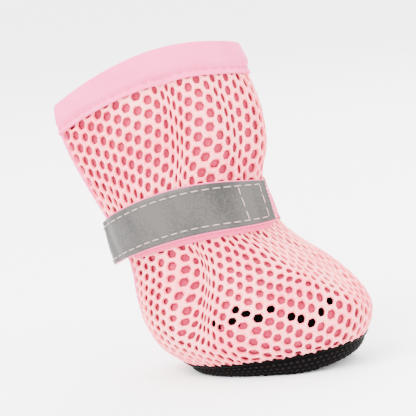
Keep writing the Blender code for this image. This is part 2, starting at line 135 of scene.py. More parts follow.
# The section at any height: a cubic through the rows above and below, with their slopes.
def sectionAt(height):
    low = np.clip(np.searchsorted(heights, height, side="right") - 1, 0, len(heights) - 2)
    span = (heights[low + 1] - heights[low])[..., None]
    part = (np.asarray(height)[..., None] - heights[low][..., None]) / span
    blended = ((2 * part ** 3 - 3 * part ** 2 + 1) * rows[low]
               + (part ** 3 - 2 * part ** 2 + part) * span * slopes[low]
               + (-2 * part ** 3 + 3 * part ** 2) * rows[low + 1]
               + (part ** 3 - part ** 2) * span * slopes[low + 1])
    return np.moveaxis(blended, -1, 0)


# Half the angle that the gusset fills: its half width over the section's, turned into degrees.
def gussetHalfTurn(height):
    share = np.clip((height - bottom) / (boot["instep"] - bottom), 0.0, 1.0)
    halfWidth = (boot["gussetFoot"] + (boot["gussetTop"] - boot["gussetFoot"]) * share) / 2
    row = sectionAt(height)
    return np.degrees(np.arcsin(np.clip(halfWidth / row[3], 0.0, 0.9) ** (row[9] / 2)))


# A turn on the net at a height: a share of the way from the front to the edge of the slit.
def netTurn(share, height):
    return share * (180.0 - gussetHalfTurn(height))


# Where a place lies by a crease's line, on the boot rolled out flat: its offset from the line's
# start, the line itself, in metres, and the share of the line that it has passed.
def byCrease(crease, turn, height):
    around = boot["ballWidth"] / 2
    start = np.array([math.radians(crease[0]) * around, crease[1] * top])
    along = np.array([math.radians(crease[2]) * around, crease[3] * top]) - start
    wrap = 2 * math.pi * around
    placeX = np.radians(turn) * around - start[0]
    placeX = (placeX - along[0] / 2 + wrap / 2) % wrap - wrap / 2 + along[0] / 2
    placeZ = height - start[1]
    return placeX, placeZ, along, (placeX * along[0] + placeZ * along[1]) / (along @ along)


# The sum of all creases: each falls off as a bell with the distance from its line, and they fade
# out at the sole, at the collar and under the strap.
def creaseLift(turn, height):
    lift = np.zeros(np.broadcast(turn, height).shape)
    for crease in creases:
        placeX, placeZ, along, share = byCrease(crease, turn, height)
        held = np.clip(share, 0.0, 1.0)
        away = np.hypot(placeX - held * along[0], placeZ - held * along[1])
        lift += crease[5] * boot["ballWidth"] * np.exp(-(away / (crease[4] * boot["ballWidth"])) ** 2)
    atSole = smoothStep((height - bottom) / (creaseEnd["sole"] * top))
    atCollar = smoothStep((top - height) / (creaseEnd["collar"] * top))
    fromStrap = np.abs(height - strapMiddle) - creaseEnd["strapHolds"] * boot["loopWidth"]
    return lift * atSole * atCollar * smoothStep(fromStrap / (creaseEnd["strap"] * top))


# Draws the cloth towards the creases that gather it: a place moves square to the line by the
# crease's pull times its distance. The pull falls off as a bell and fades past the line's ends.
def gatherCloth(turn, height):
    for crease in creases[creases[:, 6] > 0]:
        placeX, placeZ, along, share = byCrease(crease, turn, height)
        awayX, awayZ = placeX - share * along[0], placeZ - share * along[1]
        past, over = creaseEnd["pullPast"], creaseEnd["pullFade"]
        fade = smoothStep((share + past) / over) * smoothStep((1.0 + past - share) / over)
        reach = creaseEnd["pullReach"] * crease[4] * boot["ballWidth"]
        hold = crease[6] * fade * np.exp(-(np.hypot(awayX, awayZ) / reach) ** 2)
        turn = turn - np.degrees(hold * awayX / (boot["ballWidth"] / 2))
        height = np.clip(height - hold * awayZ, bottom, top)
    return turn, height


# A point of the outer surface at a turn, in degrees, and a height: a superellipse with its own
# tilt, roll and bow, drawn out at the heel, and folded in there as a squared cosine if pleated.
def bodyPoint(turn, height, pleated=True):
    turn, height = np.broadcast_arrays(np.asarray(turn, float), np.asarray(height, float))
    _, back, front, half, shift, tilt, roll, bow, taper, square = sectionAt(height)
    tilt, roll = np.radians(tilt), np.radians(roll)
    cosine, sine = np.cos(np.radians(turn)), np.sin(np.radians(turn))
    reach = (front - back) / 2 / np.cos(tilt)
    lift = creaseLift(turn, height)
    length = (reach + lift) * np.sign(cosine) * np.abs(cosine) ** (2 / square)
    width = (half + lift) * np.sign(sine) * np.abs(sine) ** (2 / square)
    width = width * (1 - taper * np.clip(cosine, 0.0, 1.0) ** 1.5)
    halfGusset = gussetHalfTurn(height)
    offHeel = np.abs((turn % 360.0) - 180.0) / halfGusset
    drawnOut = np.abs(cosine / np.cos(np.radians(halfGusset))) ** (2 / square)
    acrossSlit = 1 + boot["strapBulge"] * (drawnOut - 1)
    if pleated:
        nearCollar = smoothStep((height - top + 3 * boot["bindingHeight"]) / (2 * boot["bindingHeight"]))
        down = smoothStep((height - boot["foldFrom"] * top) / (boot["foldOver"] * top))
        depth = boot["gussetDepth"] * down * (1 - boot["foldOpens"] * nearCollar)
        fold = np.cos(np.clip(offHeel, 0.0, 1.0) * math.pi / 2) ** 2
        acrossSlit = 1 - depth / reach * fold
    heelLength = -(reach + lift) * np.where(offHeel < 1.0, acrossSlit, drawnOut)
    length = np.where(cosine < 0.0, heelLength, length)
    x = (front + back) / 2 + length * np.cos(tilt)
    y = shift + width * np.cos(roll)
    z = height + length * np.sin(tilt) - width * np.sin(roll) + bow * sine ** 2
    return np.stack([x, y, z], axis=-1)


# Vectors brought to a length of one.
def unit(vectors):
    return vectors / np.linalg.norm(vectors, axis=-1, keepdims=True)


# The surface moved along its normal, which is the cross product of its slopes in turn and height.
def offsetPoint(turn, height, out, pleated=True, turnStep=4.0, rise=0.4 * mm):
    turn, height, out = np.broadcast_arrays(*(np.asarray(v, float) for v in (turn, height, out)))
    held = np.clip(height, bottom, top)
    across = bodyPoint(turn + turnStep, held, pleated) - bodyPoint(turn - turnStep, held, pleated)
    up = bodyPoint(turn, np.minimum(held + rise, top), pleated)
    up = up - bodyPoint(turn, np.maximum(held - rise, bottom), pleated)
    return bodyPoint(turn, held, pleated) + unit(np.cross(across, up)) * out[..., None]


# The length of a line from its start to each of its points.
def runLength(line):
    return np.concatenate([[0.0], np.cumsum(np.linalg.norm(np.diff(line, axis=0), axis=1))])


# Meshes

# Puts arrays into a mesh object: points, four sided faces, a flat map for each face's corners,
# marks for each point and a material for each face. The faces are turned to look away from a place
# inside: the sum of their normals times their distance from it, or the volume, is positive.
def meshObject(name, points, faces, cornerMap=None, inside=None, marks=None, looks=None):
    faces = np.asarray(faces, dtype=np.int32)
    corners = points[faces]
    normal = np.cross(corners[:, 2] - corners[:, 0], corners[:, 3] - corners[:, 1])
    away = corners.mean(axis=1) - (points.mean(axis=0) if inside is None else inside)
    if (normal * away).sum() < 0:
        faces = faces[:, ::-1]
        cornerMap = None if cornerMap is None else cornerMap[:, ::-1]
    mesh = bpy.data.meshes.new(name)
    mesh.vertices.add(len(points))
    mesh.vertices.foreach_set("co", np.asarray(points, dtype=np.float32).ravel())
    mesh.loops.add(faces.size)
    mesh.loops.foreach_set("vertex_index", faces.ravel())
    mesh.polygons.add(len(faces))
    mesh.polygons.foreach_set("loop_start", np.arange(len(faces), dtype=np.int32) * 4)
    mesh.update(calc_edges=True)
    if cornerMap is not None:
        layer = mesh.uv_layers.new(name="flatMap")
        layer.data.foreach_set("uv", np.asarray(cornerMap, dtype=np.float32).ravel())
    for mark, values in (marks or {}).items():
        layer = mesh.attributes.new(mark, "FLOAT", "POINT")
        layer.data.foreach_set("value", np.asarray(values, dtype=np.float32).ravel())
    if looks is not None:
        mesh.polygons.foreach_set("material_index", looks.astype(np.int32))
    mesh.validate()
    mesh.shade_smooth()
    thing = bpy.data.objects.new(name, mesh)
    bpy.context.scene.collection.objects.link(thing)
    return thing


# A surface from a grid of points. Either direction may close on itself, and the map, in metres
# along and across the cloth, runs on past the join.
def gridObject(name, grid, closedAcross=False, closedAlong=False, flat=None, inside=None, marks=None):
    m, n = grid.shape[:2]
    i, j = np.meshgrid(np.arange(m if closedAcross else m - 1),
                       np.arange(n if closedAlong else n - 1), indexing="ij")
    iNext, jNext = (i + 1) % m, (j + 1) % n
    faces = np.stack([i * n + j, i * n + jNext, iNext * n + jNext, iNext * n + j], -1).reshape(-1, 4)
    cornerMap = None
    if flat is not None:
        along, across = flat
        ii = np.stack([i, i, i + 1, i + 1], -1).reshape(-1, 4)
        jj = np.stack([j, j + 1, j + 1, j], -1).reshape(-1, 4)
        cornerMap = np.stack([along[jj], across[ii]], -1)
    return meshObject(name, grid.reshape(-1, 3), faces, cornerMap, inside, marks)


# Closes a grid that is an open tube at both ends with one face each. The ends are its first and
# last rows, or its first and last columns.
def closeEnds(thing, grid, byRow=False):
    number = np.arange(grid.shape[0] * grid.shape[1]).reshape(grid.shape[:2])
    work = bmesh.new()
    work.from_mesh(thing.data)
    work.verts.ensure_lookup_table()
    for end in (number if byRow else number.T)[[0, -1]]:
        work.faces.new([work.verts[k] for k in end]).smooth = True
    bmesh.ops.recalc_face_normals(work, faces=work.faces)
    work.to_mesh(thing.data)
    work.free()


# Gives an open surface its thickness, on the inner side.
def addSolidify(thing, thickness):
    wall = thing.modifiers.new("wall", "SOLIDIFY")
    wall.thickness = thickness
    wall.offset = -1.0
    wall.use_even_offset = False


# Gives a piece its materials and takes a slot, which it does not use. It rides on the boot's one body, in
# place of its nodes.
def finishPiece(thing, materials, slot, *nodes):
    for material in materials:
        thing.data.materials.append(material)
    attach(thing, "root")
    if nodes:
        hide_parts(*nodes)
    print("made", thing.name)


# Materials

# Turns an sRGB hex colour to linear, by the standard's curve.
def linear(hexText):
    parts = [int(hexText[k:k + 2], 16) / 255 for k in (1, 3, 5)]
    return tuple(c / 12.92 if c <= 0.04045 else ((c + 0.055) / 1.055) ** 2.4 for c in parts) + (1.0,)


# Adds one shader node with the numbers of its sockets, its links and its properties.
def addNode(tree, kind, values=None, links=None, **settings):
    node = tree.nodes.new("ShaderNode" + kind)
    for key, value in settings.items():
        setattr(node, key, value)
    for key, value in (values or {}).items():
        node.inputs[key].default_value = value
    for key, source in (links or {}).items():
        tree.links.new(source, node.inputs[key])
    return node


# A new material, its node tree and its shader with the values that are the same all over.
def newMaterial(name, values):
    material = bpy.data.materials.new(name)
    material.use_nodes = True
    shader = material.node_tree.nodes["Principled BSDF"]
    for key, value in values.items():
        shader.inputs[key].default_value = value
    return material, material.node_tree, shader


# Links a shader's colour and relief: two colours mixed by a pattern, between two of its values,
# and a bump from a height with its strength and depth.
def linkLooks(tree, shader, pattern, colours, between, height, strength, depth):
    ramp = addNode(tree, "ValToRGB", links={"Fac": pattern})
    for element, colour, value in zip(ramp.color_ramp.elements, colours, between):
        element.position = value
        element.color = linear(colour)
    bump = addNode(tree, "Bump", {"Strength": strength, "Distance": depth}, {"Height": height})
    tree.links.new(ramp.outputs["Color"], shader.inputs["Base Color"])
    tree.links.new(bump.outputs["Normal"], shader.inputs["Normal"])


# Knitted polyester net: soft, matt and a little translucent. Its colour is lighter along the middle of
# each strand, a painted highlight, and darker towards the holes' rims, painted shade. Its yarn is
# 0.3 mm thick, and its fleck is drawn at 0.7 mm so that it shows.
def netMaterial(name, *colours):
    material, tree, shader = newMaterial(name, {
        "Roughness": 0.8, "Sheen Weight": 0.06, "Sheen Roughness": 0.5, "Specular IOR Level": 0.15,
        "Subsurface Weight": 0.2, "Subsurface Scale": 0.001, "Subsurface Radius": (1.0, 0.45, 0.4)})
    place = addNode(tree, "TexCoord").outputs["Object"]
    yarn = addNode(tree, "TexNoise", {"Scale": 1 / (0.7 * mm), "Detail": 3.0}, {"Vector": place})
    cloud = addNode(tree, "TexNoise", {"Scale": 1 / (14 * mm), "Detail": 2.0}, {"Vector": place})
    toHole = addNode(tree, "Attribute", attribute_name="toHole")
    both = addNode(tree, "Math", links={0: yarn.outputs["Fac"], 1: cloud.outputs["Fac"]},
                   operation="ADD")
    # the colour falls towards the holes' rims: painted shade, which leaves the strands' middles as a painted
    # highlight
    sunk = addNode(tree, "Math", {1: -0.55}, {0: toHole.outputs["Fac"], 2: both.outputs[0]},
                   operation="MULTIPLY_ADD")
    half = addNode(tree, "Math", {1: 0.5}, {0: sunk.outputs[0]}, operation="MULTIPLY")
    linkLooks(tree, shader, half.outputs[0], colours, (0.22, 0.58), yarn.outputs["Fac"], 0.9, 0.0006)
    return material


# Plain woven tape or cloth: threads over and under, drawn at 0.3 to 0.45 mm so that the weave
# still shows, with a soft nap on top. The wave texture repeats each 2 pi / 20 of its scale, which
# is two threads here.
def wovenMaterial(name, *colours, thread=0.45 * mm):
    material, tree, shader = newMaterial(name, {
        "Roughness": 0.7, "Sheen Weight": 0.08, "Sheen Roughness": 0.45, "Specular IOR Level": 0.15,
        "Subsurface Weight": 0.12, "Subsurface Scale": 0.001})
    flat = addNode(tree, "TexCoord").outputs["UV"]
    values = {"Scale": math.pi / (20 * thread), "Distortion": 0.6, "Detail": 1.0, "Detail Scale": 2.0}
    over, under = (addNode(tree, "TexWave", values, {"Vector": flat}, wave_type="BANDS",
                           bands_direction=axis).outputs["Fac"] for axis in "XY")
    weave = addNode(tree, "Math", links={0: over, 1: under}, operation="MULTIPLY").outputs[0]
    cloud = addNode(tree, "TexNoise", {"Scale": 1 / (9 * mm), "Detail": 4.0}, {"Vector": flat})
    total = addNode(tree, "Math", {1: 0.2}, {0: weave, 2: cloud.outputs["Fac"]},
                    operation="MULTIPLY_ADD")
    linkLooks(tree, shader, total.outputs[0], colours, (0.3, 0.75), weave, 0.15, 0.00012)
    return material


# Hook and loop tape: brushed nylon loops, a soft fuzz without a weave.
def loopMaterial(name, *colours):
    material, tree, shader = newMaterial(name, {
        "Roughness": 0.85, "Sheen Weight": 0.12, "Sheen Roughness": 0.6, "Specular IOR Level": 0.1})
    place = addNode(tree, "TexCoord").outputs["Object"]
    fuzz = addNode(tree, "TexNoise", {"Scale": 1 / (0.6 * mm), "Detail": 5.0},
                   {"Vector": place}).outputs["Fac"]
    linkLooks(tree, shader, fuzz, colours, (0.3, 0.7), fuzz, 0.9, 0.0004)
    return material


# Reflective tape: glass beads in a grey film on cloth. Satin grey, with faint sparkle and long
# clouds where the film has been bent. The beads are drawn at 0.45 mm so that they show.
def reflectiveMaterial(name, *colours):
    material, tree, shader = newMaterial(name, {
        "Roughness": 0.5, "Metallic": 0.1, "Specular IOR Level": 0.3})
    flat = addNode(tree, "TexCoord").outputs["UV"]
    stretch = addNode(tree, "Mapping", {"Scale": (1.0, 0.35, 1.0)}, {"Vector": flat})
    cloud = addNode(tree, "TexNoise", {"Scale": 1 / (9 * mm), "Detail": 2.0},
                    {"Vector": stretch.outputs[0]})
    beads = addNode(tree, "TexVoronoi", {"Scale": 1 / (0.45 * mm)},
                    {"Vector": flat}).outputs["Distance"]
    total = addNode(tree, "Math", {1: 0.25}, {0: beads, 2: cloud.outputs["Fac"]},
                    operation="MULTIPLY_ADD")
    linkLooks(tree, shader, total.outputs[0], colours, (0.42, 0.72), beads, 0.25, 0.0001)
    return material


# Coated sole cloth: black polyester with a matt grip coat, dull, and lighter on the floats' tops, a painted
# highlight.
def soleMaterial(name, *colours):
    material, tree, shader = newMaterial(name, {
        "Roughness": 0.5, "IOR": 1.4, "Specular IOR Level": 0.03})
    place = addNode(tree, "TexCoord").outputs["Object"]
    grit = addNode(tree, "TexNoise", {"Scale": 1 / (0.5 * mm), "Detail": 4.0},
                   {"Vector": place}).outputs["Fac"]
    raised = addNode(tree, "Attribute", attribute_name="raised").outputs["Fac"]
    # the floats' tops are lightened: painted highlight
    floatHighlight = addNode(tree, "Math", {1: 5.0}, {0: raised}, operation="POWER")
    total = addNode(tree, "Math", links={0: grit, 1: floatHighlight.outputs[0]}, operation="MULTIPLY")
    linkLooks(tree, shader, total.outputs[0], colours, (0.05, 0.6), grit, 0.5, 0.0002)
    return material


# the lighter colour is a painted highlight along the strands, the darker one painted shade at the holes' rims
netOutside = netMaterial("polyester net, outside", "#f2586e", "#ffa2a2")
# a darker copy of the net's colours for its inner faces: painted shade
netInsideShaded = netMaterial("shaded polyester net, inside", "#d93c60", "#e85876")
# deep crimson: the back's own pink, darkened by painted shade of the hollow inside
netBackShaded = netMaterial("shaded close knit net back", "#96103a", "#b82450")
tapePink = wovenMaterial("woven binding tape", "#dc4882", "#e15d91")
clothPink = wovenMaterial("plain gusset cloth", "#d03a70", "#d85082", thread=0.4 * mm)
loopPink = loopMaterial("brushed loop tape", "#d03264", "#da4878")
reflective = reflectiveMaterial("reflective tape", "#23211f", "#3f3c3a")
# the lighter colour is the painted highlight on the floats
soleBlack = soleMaterial("coated sole cloth", "#040303", "#241f20")
foamBlack = soleMaterial("cloth faced foam", "#060505", "#0a0909")
threadPale = wovenMaterial("polyester sewing thread", "#857370", "#a08e88", thread=0.3 * mm)
threadFray = wovenMaterial("loose polyester thread ends", "#e8859a", "#f2b0b4", thread=0.3 * mm)
threadPink = wovenMaterial("pink sewing thread", "#d94078", "#e05c8c", thread=0.3 * mm)


# The net

net = {
    "thickness": 0.55 * mm,
    "crown": 0.25 * mm,         # how far the middle of a strand stands above the boot's surface
    "rimDrop": 0.05 * mm,       # how far the rims of the holes lie below it
    "closest": 0.54,            # the most of a cell that its strand takes up where cloth is gathered
    "widest": 1.4 * mm,         # the most that half a hole measures
    "smallest": 0.14,           # half a hole measures this share of its cell at the least
    "largest": 0.42,            # and this at the most
    "cellWidth": 1.08,          # of a six sided cell, in columns, halfway between flats and tips
    "roundness": 0.4,           # of the holes: 0 is a hexagon and 1 an ellipse
    "unevenness": 0.07,         # of the holes' sizes
    "drift": 0.03,              # of the holes' places, as a share of a cell
    "upright": 0.8,             # how much of the columns' lean the holes don't follow
    "seamCentre": 0.42,         # where the centre of a cell lies that the seam cuts, in rows
    "seamHeight": 0.6,          # the height of its hole, as a share of the others'
    "pucker": 0.35 * mm,        # depth of the small gathers along the strap's edges
    "puckerReach": 4.5 * mm,
    "backDepth": 1.1 * mm,      # how deep the close knit back lies behind the net
    "backThickness": 0.18 * mm, "backAround": 320, "backUp": 140,
    "openReach": 1.9 * mm,      # how far the back is cut away round the middle of an open hole
}

# The two parts of the net, above and below the strap. The columns are spaced evenly at one height,
# and lean towards the toe by so many degrees for each mm.
shaftNet = {"low": loopLow + 6 * mm, "high": top - 3 * mm, "evenAt": 62 * mm, "columns": 50, "rows": 11,
            "lean": 0.5, "strand": 0.88 * mm, "seed": 3}
footNet = {"low": bottom + 0.1 * mm, "high": loopLow + 5 * mm, "evenAt": 16 * mm, "columns": 60,
           "rows": 14, "lean": 0.85, "strand": 1.1 * mm, "seed": 5}

# Where the net's back is open and the dark liner shows through a hole, as turn and height in mm on
# the right side. The left side has the same places, a little on.
darkHoles = np.array([(268, 19.5), (260, 17.7), (278.5, 20.5), (282.5, 18.7), (274, 21.7), (288, 20.4),
                      (296, 18.3), (299, 15.2), (307, 15.2), (311, 17.3), (319, 17.6)])


# Makes a map from the cloth to the boot: u counts columns from slit edge to slit edge round the
# front, evenly in length at one height, and v counts rows, evenly in length up each column.
def clothMap(part, across=240, up=160):
    share = np.linspace(-1.0, 1.0, 3 * across + 1)
    evenAt = part["evenAt"]
    length = runLength(bodyPoint(netTurn(share, evenAt), evenAt))
    uShare = np.interp(np.linspace(0.0, 1.0, across + 1), length / length[-1], share)
    rise = np.linspace(part["low"], part["high"], up + 1)
    steps = np.linalg.norm(np.diff(bodyPoint(netTurn(uShare[:, None], rise), rise), axis=1), axis=2)
    steps = np.pad(np.cumsum(steps, axis=1), ((0, 0), (1, 0)))
    steps /= steps[:, -1:]
    even = np.linspace(0.0, 1.0, up + 1)
    heightOf = np.stack([np.interp(even, steps[k], rise) for k in range(len(uShare))])

    # reads both tables between their four nearest values, leans the column and gathers the cloth
    def place(u, v):
        a = np.clip(u / part["columns"], 0.0, 1.0) * across
        b = np.clip(v / part["rows"], 0.0, 1.0) * up
        a0, b0 = np.minimum(a.astype(int), across - 1), np.minimum(b.astype(int), up - 1)
        fa, fb = a - a0, b - b0
        height = ((heightOf[a0, b0] * (1 - fa) + heightOf[a0 + 1, b0] * fa) * (1 - fb)
                  + (heightOf[a0, b0 + 1] * (1 - fa) + heightOf[a0 + 1, b0 + 1] * fa) * fb)
        side = uShare[a0] * (1 - fa) + uShare[a0 + 1] * fa
        lean = part["lean"] * (height - evenAt) / mm * np.sin(math.pi * side)
        return gatherCloth(netTurn(side, height) - lean, height)
    return place


# Small gathers that the strap draws into the net: waves round the boot that fall off as a bell
# with the distance from the strap's edges.
def puckerAt(turn, height):
    fromStrap = np.maximum(np.abs(height - strapMiddle) - boot["strapWidth"] / 2, 0.0)
    wave = np.sin(np.radians(turn) * 19.0) + 0.5 * np.sin(np.radians(turn) * 31.0 + 1.3)
    return net["pucker"] * wave * np.exp(-(fromStrap / net["puckerReach"]) ** 2)


# A net of six sided cells, in columns that are each half a cell higher than the last. Each cell has
# rings of 24 points: the middle of its strands, their shoulder, the rim of its hole outside and
# inside, and the strands' back. The hole is what the strand leaves of the cell, so it narrows where
# the cloth is gathered, and its rim blends a hexagon and an ellipse. The seam cuts the lowest cells.
def netObject(name, part):
    columns, place = part["columns"], clothMap(part)
    i, j = (a.ravel() for a in np.meshgrid(np.arange(columns), np.arange(part["rows"]), indexing="ij"))
    centre = np.stack([i + 0.5, j + 0.25 + 0.5 * (i % 2)], -1)
    half = np.array([(0.625, 0), (0.5, 0.25), (0.375, 0.5), (0, 0.5), (-0.375, 0.5), (-0.5, 0.25)])
    cell = np.concatenate([half, -half])
    cell = np.stack([cell, (cell + np.roll(cell, -1, 0)) / 2], 1).reshape(-1, 2)
    outer = centre[:, None] + cell[None]
    outer[..., 0] = np.clip(outer[..., 0], 0.0, columns)
    outer[..., 1] = np.where(outer[..., 1] < 0.3, 0.0, outer[..., 1])
    # neighbours share the points of their border, which all lie on a fine grid of eightieths
    key, index = np.unique(np.round(outer.reshape(-1, 2) * 80).astype(int), axis=0, return_inverse=True)
    strandPoints = key / 80.0
    index = index.reshape(outer.shape[:2])
    atSeam = centre[:, 1] < 0.5
    centre[atSeam, 1] = net["seamCentre"]

    rng = np.random.default_rng(part["seed"])
    around = bodyPoint(*place(*(centre[:, None] + [(0.4, 0.0), (-0.4, 0.0), (0.0, 0.4), (0.0, -0.4)]).T))
    pitchU = np.maximum(np.linalg.norm(around[0] - around[1], axis=1) / 0.8, 0.2 * mm)
    pitchV = np.maximum(np.linalg.norm(around[2] - around[3], axis=1) / 0.8, 0.2 * mm)
    loose = 1 + net["unevenness"] * rng.standard_normal((2, len(centre)))
    strandU, strandV = (np.minimum(part["strand"], net["closest"] * pitch) for pitch in (pitchU, pitchV))
    halfU = (pitchU * net["cellWidth"] - strandU) / 2 * loose[0]
    halfV = (pitchV - strandV) / 2 * loose[1]
    halfU, halfV = (np.clip(np.minimum(size, net["widest"]) / pitch, net["smallest"], net["largest"])
                    for size, pitch in ((halfU, pitchU), (halfV, pitchV)))
    halfV = halfV * np.where(atSeam, net["seamHeight"], 1.0)
    angle = np.arange(len(cell)) * 2 * math.pi / len(cell)
    ellipse = np.stack([np.cos(angle), np.sin(angle)], -1)
    rimShape = net["roundness"] * ellipse + (1 - net["roundness"]) * cell / 0.56
    drift = net["drift"] * rng.standard_normal((len(centre), 1, 2))
    hole = centre[:, None] + drift + rimShape[None] * np.stack([halfU, halfV], -1)[:, None]
    slant = part["lean"] * (part["high"] - part["low"]) / mm / part["rows"] * columns / 340.0
    side = np.sin(math.pi * (2 * centre[:, :1] / columns - 1))
    hole[..., 0] += net["upright"] * slant * side * (hole[..., 1] - centre[:, 1:])
    shoulder = 0.45 * strandPoints[index] + 0.55 * hole

    rings = []
    for cloth, out in ((strandPoints, net["crown"]), (shoulder, 0.8 * net["crown"]),
                       (hole, -net["rimDrop"]), (hole, -net["thickness"]),
                       (strandPoints, -net["thickness"])):
        turn, height = place(cloth[..., 0].ravel(), cloth[..., 1].ravel())
        rings.append(offsetPoint(turn, height, out + puckerAt(turn, height)))
    begin = np.concatenate([[0], np.cumsum([len(ring) for ring in rings])])
    own = np.arange(index.size).reshape(index.shape)
    numbers = [index, begin[1] + own, begin[2] + own, begin[3] + own, begin[4] + index]
    quads = [np.stack([a, np.roll(a, -1, 1), np.roll(b, -1, 1), b], -1).reshape(-1, 4)
             for a, b in zip(numbers[:-1], numbers[1:])]

    # close the net's outer border, where a strand has a cell on one side only
    pairs = np.stack([index, np.roll(index, -1, 1)], -1).reshape(-1, 2)
    _, where, times = np.unique(np.sort(pairs, 1), axis=0, return_inverse=True, return_counts=True)
    single = pairs[times[where.ravel()] == 1]
    quads.append(np.stack([single[:, 1], single[:, 0], single[:, 0] + begin[4], single[:, 1] + begin[4]], -1))
    # toHole darkens the colour from the strands' middles to the holes' rims: painted shade and highlight
    toHole = np.repeat([0.0, 0.4, 1.0, 1.1, 0.6], np.diff(begin))
    # the strands' backs and the net's border take the darker inside copy: painted shade
    thing = meshObject(name, np.concatenate(rings), np.concatenate(quads), marks={"toHole": toHole},
                       looks=np.repeat([0, 0, 0, 1, 1], [len(ring) for ring in quads]))
    finishPiece(thing, [netOutside, netInsideShaded], "net_fabric", "upper")
    return np.stack(place(centre[:, 0], centre[:, 1]), -1)


# The net's close knit back, which shows through its holes: the boot's surface moved inwards. Its deep
# crimson is partly its own colour and partly painted shade of the hollow inside. It is open at the
# cells of the foot's net that lie nearest to the dark places.
def makeNetBack(footCells):
    share = np.linspace(-1.0, 1.0, net["backAround"])[None, :]
    rise = bottom + (top - 2.2 * mm - bottom) * np.linspace(0.0, 1.0, net["backUp"])[:, None]
    turn, rise = np.broadcast_arrays(netTurn(share, rise), rise)
    grid = offsetPoint(turn, rise, -net["backDepth"] + 0.6 * puckerAt(turn, rise))
    thing = gridObject("netBack", grid, inside=np.array([-10 * mm, 0.0, 40 * mm]))
    left = np.stack([363.0 - darkHoles[:, 0], darkHoles[:, 1] - 0.7], -1)
    wanted = bodyPoint(*(np.concatenate([darkHoles, left]) * [1.0, mm]).T)
    cells = bodyPoint(*footCells.T)
    chosen = cells[np.linalg.norm(wanted[:, None] - cells[None], axis=2).argmin(axis=1)]
    apart = np.linalg.norm(grid.reshape(-1, 1, 3) - chosen[None], axis=2).min(axis=1)
    work = bmesh.new()
    work.from_mesh(thing.data)
    work.verts.ensure_lookup_table()
    cut = [work.verts[k] for k in np.flatnonzero(apart < net["openReach"])]
    bmesh.ops.delete(work, geom=cut, context="VERTS")
    work.to_mesh(thing.data)
    work.free()
    addSolidify(thing, net["backThickness"])
    finishPiece(thing, [netBackShaded], "net_fabric", "upper")


# The gusset

gusset = {"thickness": 0.9 * mm, "across": 28, "up": 90, "ripple": 0.18 * mm, "cordUp": 150,
          "cordRadius": 0.5 * mm, "cordWave": 0.05 * mm, "cordSides": 10}


# A strip between the edges of the slit: turn and height are its two parameters, and shallow waves
# run across it where the cloth is folded in.
def makeGusset():
    share = np.linspace(-1.0, 1.0, gusset["across"])[None, :]
    rise = np.linspace(bottom + 0.3 * mm, top - 1.6 * mm, gusset["up"])[:, None]
    turn = 180.0 + share * (gussetHalfTurn(rise) - 0.6)
    ripple = gusset["ripple"] * np.sin(rise / mm * 0.9 + 2.0 * np.abs(share)) * (1 - share ** 2)
    grid = offsetPoint(turn, rise, -0.2 * mm + ripple)
    thing = gridObject("backGusset", grid, flat=(share[0] * boot["gussetTop"] / 2, rise[:, 0]),
                       inside=np.array([-20 * mm, 0.0, 40 * mm]))
    addSolidify(thing, gusset["thickness"])
    finishPiece(thing, [clothPink], "gusset_cloth", "back_gusset")


# Cords that cover the net's cut edges where it is sewn to the gusset: a round profile along the
# path of each edge, a little thicker and thinner in waves.
def makeHeelCords():
    rise = np.linspace(bottom + 0.2 * mm, top - 2.0 * mm, gusset["cordUp"])
    sides = gusset["cordSides"]
    angle = (np.arange(sides) * 2 * math.pi / sides)[None, :, None]
    radius = gusset["cordRadius"] + gusset["cordWave"] * np.sin(rise / mm * 3.6)[:, None, None]
    for name, side in (("heelCordRight", 1.0), ("heelCordLeft", -1.0)):
        turn = 180.0 + side * (gussetHalfTurn(rise) - 0.3)
        path = offsetPoint(turn, rise, 0.12 * mm)
        ahead = unit(np.gradient(path, axis=0))
        out = offsetPoint(turn, rise, 1.0 * mm) - path
        out = unit(out - ahead * (out * ahead).sum(axis=1, keepdims=True))
        ring = np.cos(angle) * out[:, None] + np.sin(angle) * np.cross(ahead, out)[:, None]
        grid = (path[:, None] + radius * ring).transpose(1, 0, 2)
        thing = gridObject(name, grid, closedAcross=True,
                           flat=(rise, np.linspace(0.0, 3.1 * mm, sides + 1)))
        closeEnds(thing, grid)
        finishPiece(thing, [tapePink], "pink_tape")


# The collar's binding

binding = {
    "thickness": 0.75 * mm, "clear": 0.33 * mm, "puff": 0.75 * mm,
    "hem": 1.6 * mm,            # from the tape's lower edge up to its stitched groove
    "groove": 0.35 * mm,
    "atHeelEdge": 0.45,         # how much flatter it lies where it bends into the gusset
    "around": 300, "heelAround": 30, "stitch": 2.6 * mm, "stitchShare": 0.78, "thread": 0.2 * mm,
    "pucker": 0.09 * mm,        # the small one that the stitches draw in
    "wave": 0.22 * mm,          # the long one of the tape above them
}


# Turns round the collar, evenly over the net and more closely over the gusset's fold.
def pleatedTurns(count, heelCount, height):
    halfGusset = gussetHalfTurn(np.asarray(height, float))[..., None]
    netTurns = np.linspace(-1.0, 1.0, count - heelCount + 1) * (180.0 - halfGusset)
    heelTurns = 180.0 + np.linspace(-1.0, 1.0, heelCount + 1)[1:-1] * halfGusset
    return np.concatenate([netTurns, heelTurns], axis=-1)


